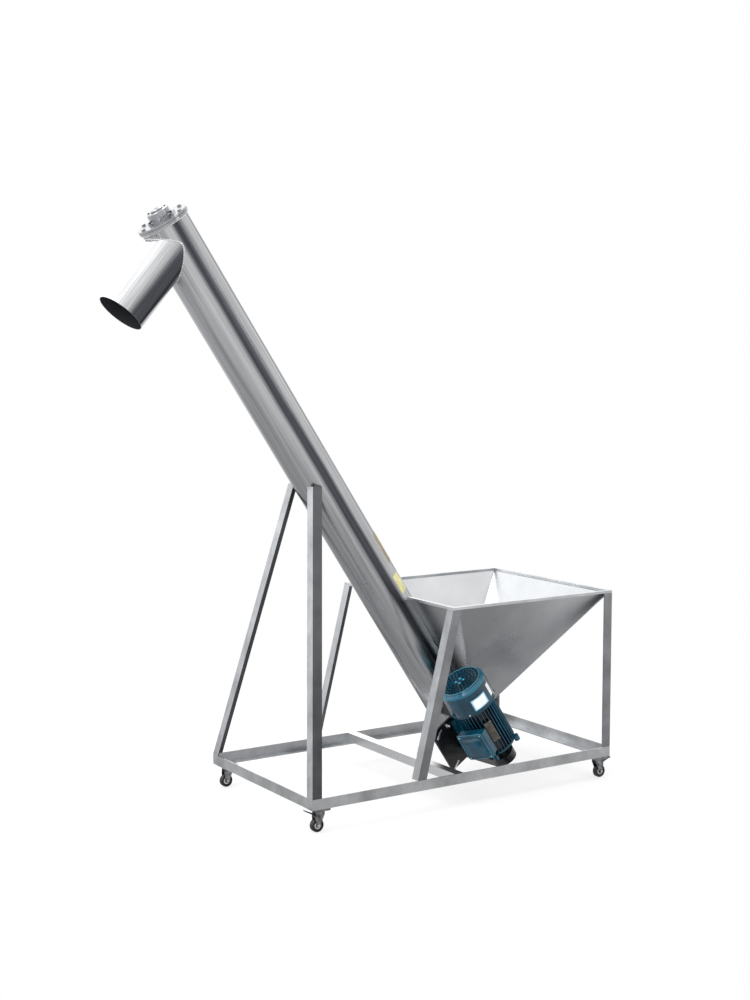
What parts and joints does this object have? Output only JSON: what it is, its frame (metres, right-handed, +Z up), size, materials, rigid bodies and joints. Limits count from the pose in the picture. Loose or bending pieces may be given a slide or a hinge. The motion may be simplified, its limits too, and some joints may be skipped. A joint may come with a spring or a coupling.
{
  "type": "screw feeder",
  "caption": "Inclined screw feeder: an open hopper feeds an auger in a tube that lifts bulk material to a high discharge spout, belt-driven, on an angle frame with casters.",
  "frame": {"origin": "on the floor, in the middle of the outline seen from above", "axes": "+Z up; +X from the spout's end towards the hopper; +Y to the back, away from the motor"},
  "size_m": [2.0349, 0.77, 2.244],
  "materials": {
    "stainless": "brushed",
    "polished_stainless": "polished",
    "bright_steel": "satin",
    "zinc_bolt": "satin",
    "pulley_iron": "satin",
    "black_paint": "satin",
    "motor_paint": "satin",
    "black_plastic": "matte",
    "belt_rubber": "matte",
    "caster_steel": "satin",
    "wheel_rubber": "matte"
  },
  "bodies": {
    "frame": {"base_rail_back": "stainless", "base_rail_front": "stainless", "base_rail_left": "stainless", "base_rail_right": "stainless", "belt_guard": "black_paint", "bottom_bearing": "bright_steel", "bottom_bearing_housing": "stainless", "bottom_end_bolts": "zinc_bolt", "bottom_end_plate": "stainless", "bottom_flange": "stainless", "cable_gland": "black_plastic", "caster_plates": "caster_steel", "conveyor_tube": "polished_stainless", "cross_member": "stainless", "discharge_spout": "polished_stainless", "drive_belt": "belt_rubber", "fan_cowl": "motor_paint", "guard_back_plate": "black_paint", "hopper_leg_back_left": "stainless", "hopper_leg_back_right": "stainless", "hopper_leg_front_left": "stainless", "hopper_leg_front_right": "stainless", "hopper_panel_back": "stainless", "hopper_panel_front": "stainless", "hopper_panel_left": "stainless", "hopper_panel_right": "stainless", "motor_bracket": "black_paint", "motor_drive_shield": "motor_paint", "motor_foot_bolts": "zinc_bolt", "motor_housing": "motor_paint", "motor_rear_shield": "motor_paint", "rim_back": "stainless", "rim_front": "stainless", "rim_left": "stainless", "rim_right": "stainless", "terminal_box": "motor_paint", "terminal_box_lid": "motor_paint", "top_bearing": "bright_steel", "top_bearing_housing": "stainless", "top_cover": "stainless", "top_cover_bolts": "zinc_bolt", "top_flange": "stainless", "tube_leg_back": "stainless", "tube_leg_front": "stainless"},
    "auger": {"auger_shaft": "bright_steel", "auger_flight": "bright_steel", "driven_pulley": "pulley_iron"},
    "rotor": {"motor_rotor": "bright_steel", "motor_fan": "black_plastic", "drive_pulley": "pulley_iron"},
    "swivel_front_left": {"caster_fork_front_left": "caster_steel"},
    "wheel_front_left": {"caster_wheel_front_left": "wheel_rubber"},
    "pedal_front_left": {"brake_pedal_front_left": "black_plastic"},
    "swivel_back_left": {"caster_fork_back_left": "caster_steel"},
    "wheel_back_left": {"caster_wheel_back_left": "wheel_rubber"},
    "swivel_front_right": {"caster_fork_front_right": "caster_steel"},
    "wheel_front_right": {"caster_wheel_front_right": "wheel_rubber"},
    "pedal_front_right": {"brake_pedal_front_right": "black_plastic"},
    "swivel_back_right": {"caster_fork_back_right": "caster_steel"},
    "wheel_back_right": {"caster_wheel_back_right": "wheel_rubber"}
  },
  "joints": [
    {"name": "auger_spin", "type": "hinge", "parent": "frame", "child": "auger", "pos_m": [0.52139, 0, 0.209], "axis": [-0.5519, 0, 0.8339], "continuous": true},
    {"name": "motor_spin", "type": "hinge", "parent": "frame", "child": "rotor", "pos_m": [0.49304, -0.275, 0.19023], "axis": [-0.5519, 0, 0.8339], "continuous": true},
    {"name": "caster_swivel_front_left", "type": "hinge", "parent": "frame", "child": "swivel_front_left", "pos_m": [-0.36561, -0.35, 0.07], "axis": [0, 0, 1], "continuous": true},
    {"name": "wheel_spin_front_left", "type": "hinge", "parent": "swivel_front_left", "child": "wheel_front_left", "pos_m": [-0.37361, -0.35, 0.025], "axis": [0, 1, 0], "continuous": true},
    {"name": "brake_front_left", "type": "hinge", "parent": "swivel_front_left", "child": "pedal_front_left", "pos_m": [-0.37961, -0.35, 0.061], "axis": [0, 1, 0], "range_deg": [-22, 0]},
    {"name": "caster_swivel_back_left", "type": "hinge", "parent": "frame", "child": "swivel_back_left", "pos_m": [-0.36561, 0.35, 0.07], "axis": [0, 0, 1], "continuous": true},
    {"name": "wheel_spin_back_left", "type": "hinge", "parent": "swivel_back_left", "child": "wheel_back_left", "pos_m": [-0.37361, 0.35, 0.025], "axis": [0, 1, 0], "continuous": true},
    {"name": "caster_swivel_front_right", "type": "hinge", "parent": "frame", "child": "swivel_front_right", "pos_m": [0.95439, -0.35, 0.07], "axis": [0, 0, 1], "continuous": true},
    {"name": "wheel_spin_front_right", "type": "hinge", "parent": "swivel_front_right", "child": "wheel_front_right", "pos_m": [0.96239, -0.35, 0.025], "axis": [0, 1, 0], "continuous": true},
    {"name": "brake_front_right", "type": "hinge", "parent": "swivel_front_right", "child": "pedal_front_right", "pos_m": [0.96839, -0.35, 0.061], "axis": [0, -1, 0], "range_deg": [-12, 10]},
    {"name": "caster_swivel_back_right", "type": "hinge", "parent": "frame", "child": "swivel_back_right", "pos_m": [0.95439, 0.35, 0.07], "axis": [0, 0, 1], "continuous": true},
    {"name": "wheel_spin_back_right", "type": "hinge", "parent": "swivel_back_right", "child": "wheel_back_right", "pos_m": [0.96239, 0.35, 0.025], "axis": [0, 1, 0], "continuous": true}
  ],
  "couplings": [
    {"joint": "motor_spin", "follows": "auger_spin", "ratio": 2}
  ]
}
